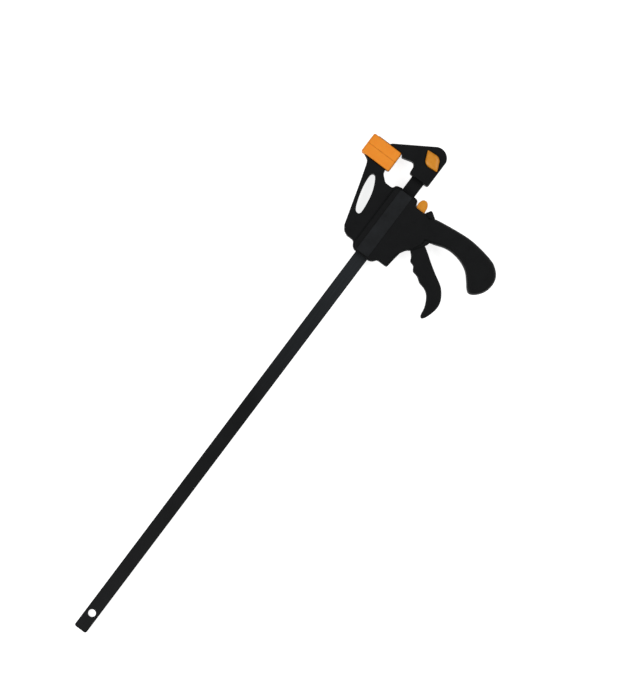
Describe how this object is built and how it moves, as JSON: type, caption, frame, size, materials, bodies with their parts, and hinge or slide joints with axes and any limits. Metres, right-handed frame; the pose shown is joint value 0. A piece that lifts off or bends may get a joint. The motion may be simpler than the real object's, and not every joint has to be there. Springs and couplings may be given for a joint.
{
  "type": "quick release bar clamp",
  "caption": "Quick release bar clamp: long flat steel bar, sliding pistol grip head with trigger and release lever, fixed jaw with lock knob, and soft orange jaw pads.",
  "frame": {"origin": "centre of the hanging hole in the bar's free end, at the bar's mid-plane", "axes": "+X along the bar from its free end to the fixed jaw, +Y across the bar to the side of the jaw pads, +Z along the hanging hole, out of the side with the lock knob; the clamp lies on its side"},
  "size_m": [0.839, 0.259, 0.0345],
  "materials": {
    "bar_steel": "blackened carbon steel with a soft sheen and rub marks along the bar",
    "body_plastic": "near black glass-filled nylon with a fine moulded grain",
    "pad_rubber": "satin orange soft pad material",
    "orange_plastic": "satin orange plastic",
    "plate_steel": "hardened plates with ground faces",
    "zinc_steel": "bright zinc plating",
    "spring_steel": "drawn spring wire"
  },
  "bodies": {
    "bar": {"bar": "bar_steel", "fixed_jaw": "body_plastic", "fixed_jaw_pad": "pad_rubber", "lock_retainer": "zinc_steel", "lock_spring": "spring_steel"},
    "head": {"head_front_shell": "body_plastic", "head_back_shell": "body_plastic", "shell_screws": "zinc_steel", "moving_jaw_pad": "pad_rubber", "trigger_pin": "zinc_steel", "brake_pin": "zinc_steel", "drive_spring": "spring_steel", "brake_spring": "spring_steel"},
    "trigger": {"trigger": "body_plastic"},
    "drive": {"drive_plate_front": "plate_steel", "drive_plate_rear": "plate_steel"},
    "brake": {"brake_plate": "plate_steel", "release_cap": "orange_plastic"},
    "jaw_lock": {"lock_knob": "orange_plastic", "lock_pin": "zinc_steel"}
  },
  "joints": [
    {"name": "head_slide", "type": "slide", "parent": "bar", "child": "head", "axis": [-1, 0, 0], "range_m": [0, 0.61]},
    {"name": "trigger_squeeze", "type": "hinge", "parent": "head", "child": "trigger", "pos_m": [0.683, -0.046, 0], "axis": [0, 0, 1], "range_deg": [0, 26], "stiffness_Nm_per_rad": 1.35, "springref_deg": -12.61},
    {"name": "drive_slide", "type": "slide", "parent": "head", "child": "drive", "axis": [-1, 0, 0], "range_m": [0, 0.0136], "deforming": ["drive_spring"]},
    {"name": "release_lever", "type": "hinge", "parent": "head", "child": "brake", "pos_m": [0.72, 0.0165, 0], "axis": [0, 0, -1], "range_deg": [0, 8], "stiffness_Nm_per_rad": 0.87, "springref_deg": -5.73, "deforming": ["brake_spring"]},
    {"name": "lock_pull", "type": "slide", "parent": "bar", "child": "jaw_lock", "axis": [0, 0, 1], "range_m": [0, 0.0028], "stiffness_N_per_m": 1200, "springref_m": -0.003, "deforming": ["lock_spring"]}
  ],
  "couplings": [
    {"joint": "drive_slide", "follows": "trigger_squeeze", "m_per_rad": 0.02974}
  ]
}
